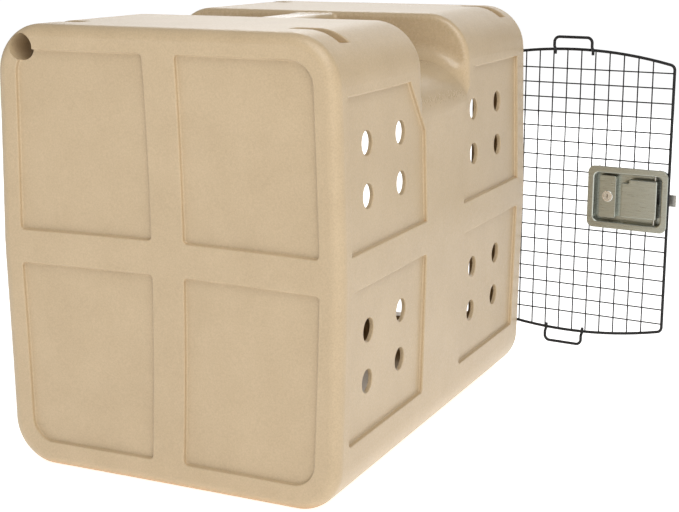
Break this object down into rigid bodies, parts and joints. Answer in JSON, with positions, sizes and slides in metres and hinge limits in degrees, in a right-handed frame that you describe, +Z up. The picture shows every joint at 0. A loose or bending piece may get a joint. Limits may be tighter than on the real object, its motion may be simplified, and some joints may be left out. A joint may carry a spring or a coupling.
{
  "type": "pet transport carrier",
  "caption": "One-piece moulded pet transport carrier with recessed panels, air vents, a saddle handle and a hinged wire-mesh door with a paddle latch.",
  "frame": {"origin": "centre of the base, on the surface that the carrier rests on", "axes": "+Z up, the doorway faces -Y, the hinges are on the -X side of the doorway; the door is stored fully open"},
  "size_m": [0.8172, 0.797, 0.65],
  "materials": {
    "shell_plastic": "sand-coloured moulded polyethylene, fine grain, satin in the saddle",
    "black_coated_steel": "black powder coat, slightly textured",
    "brushed_stainless": "brushed stainless steel",
    "zinc_steel": "zinc-plated steel",
    "lock_metal": "worn bright plating",
    "seal_rubber": "matt black rubber"
  },
  "bodies": {
    "carrier": {"carrier_shell": "shell_plastic", "hinge_leaf_lower": "black_coated_steel", "hinge_leaf_upper": "black_coated_steel", "hinge_nuts": "zinc_steel", "hinge_pin_lower": "zinc_steel", "hinge_pin_upper": "zinc_steel", "hinge_screws": "zinc_steel", "strike_plate": "brushed_stainless", "strike_rivets": "brushed_stainless"},
    "door": {"bolt_guide": "zinc_steel", "cross_wires": "black_coated_steel", "door_frame": "black_coated_steel", "hinge_arm_lower": "black_coated_steel", "hinge_arm_upper": "black_coated_steel", "latch_cover": "zinc_steel", "latch_dish": "brushed_stainless", "latch_gasket": "seal_rubber", "latch_nuts": "zinc_steel", "latch_studs": "zinc_steel", "lock_barrel": "lock_metal", "lock_nut": "zinc_steel", "paddle_pin": "zinc_steel", "paddle_spring": "zinc_steel", "stop_loop_bottom": "black_coated_steel", "stop_loop_top": "black_coated_steel", "upright_wires": "black_coated_steel"},
    "paddle": {"paddle": "brushed_stainless"},
    "bolt": {"bolt": "zinc_steel"},
    "lock": {"lock_plug": "lock_metal", "lock_cam": "zinc_steel"}
  },
  "joints": [
    {"name": "door_swing", "type": "hinge", "parent": "carrier", "child": "door", "pos_m": [-0.178, -0.3915, 0.3288], "axis": [0, 0, 1], "range_deg": [-2, 185.4]},
    {"name": "paddle_lift", "type": "hinge", "parent": "door", "child": "paddle", "pos_m": [-0.50745, -0.37543, 0.325], "axis": [0, 0, 1], "range_deg": [0, 35], "stiffness_Nm_per_rad": 0.25, "springref_deg": -11.46},
    {"name": "bolt_slide", "type": "slide", "parent": "door", "child": "bolt", "axis": [0.9956, -0.0941, 0], "range_m": [0, 0.0095]},
    {"name": "lock_turn", "type": "hinge", "parent": "door", "child": "lock", "pos_m": [-0.42452, -0.37473, 0.3287], "axis": [0.0941, 0.9956, 0], "range_deg": [0, 90]}
  ],
  "couplings": [
    {"joint": "bolt_slide", "follows": "paddle_lift", "m_per_rad": 0.01555}
  ]
}
